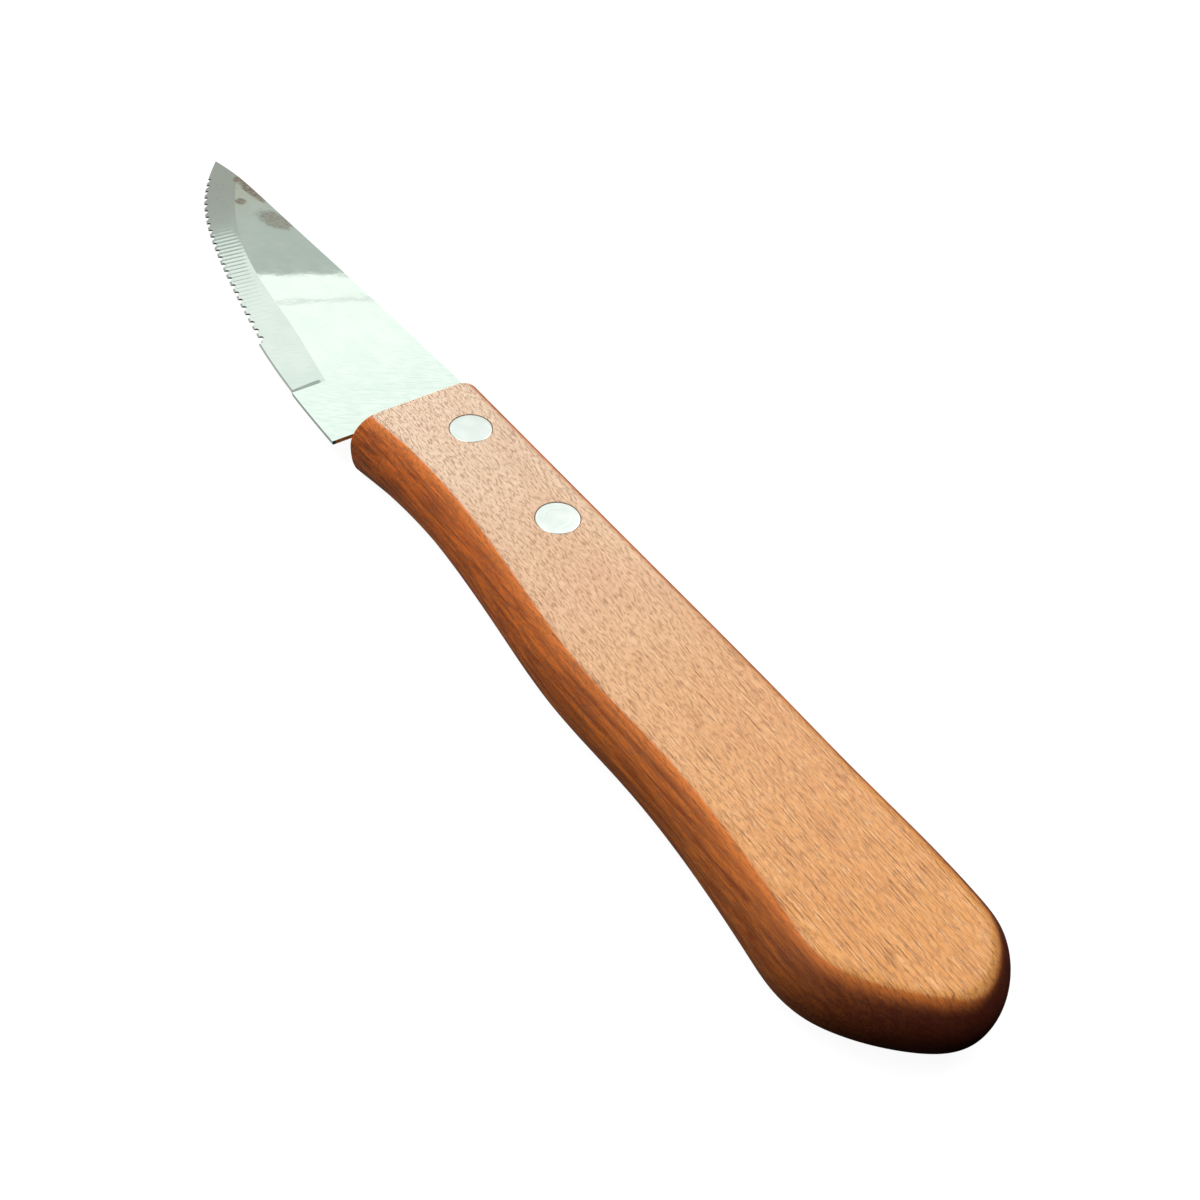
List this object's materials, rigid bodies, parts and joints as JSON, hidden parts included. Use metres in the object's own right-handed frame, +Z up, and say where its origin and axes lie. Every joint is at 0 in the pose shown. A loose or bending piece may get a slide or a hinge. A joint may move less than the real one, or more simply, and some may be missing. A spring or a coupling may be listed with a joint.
{
  "type": "serrated table knife",
  "caption": "Pointed table knife lying flat: serrated steel blade whose tang sits in a kerf in a solid wooden handle, held by flush rivets.",
  "frame": {"origin": "middle of the footprint, on the surface that the handle lies on", "axes": "+X from the butt to the tip, +Y from the spine to the cutting edge, +Z up, out of the handle's upper flat face"},
  "size_m": [0.2427, 0.0312, 0.012],
  "materials": {
    "blade_steel": "satin rolled stainless sheet with a bright ground band along the edge",
    "varnished_wood": "reddish-brown open-pored hardwood under satin varnish",
    "rivet_metal": "linished flush heads"
  },
  "bodies": {
    "root": {"blade": "blade_steel", "handle": "varnished_wood", "rivet_front_barrel": "rivet_metal", "rivet_front_pin": "rivet_metal", "rivet_rear_barrel": "rivet_metal", "rivet_rear_pin": "rivet_metal"}
  },
  "joints": []
}
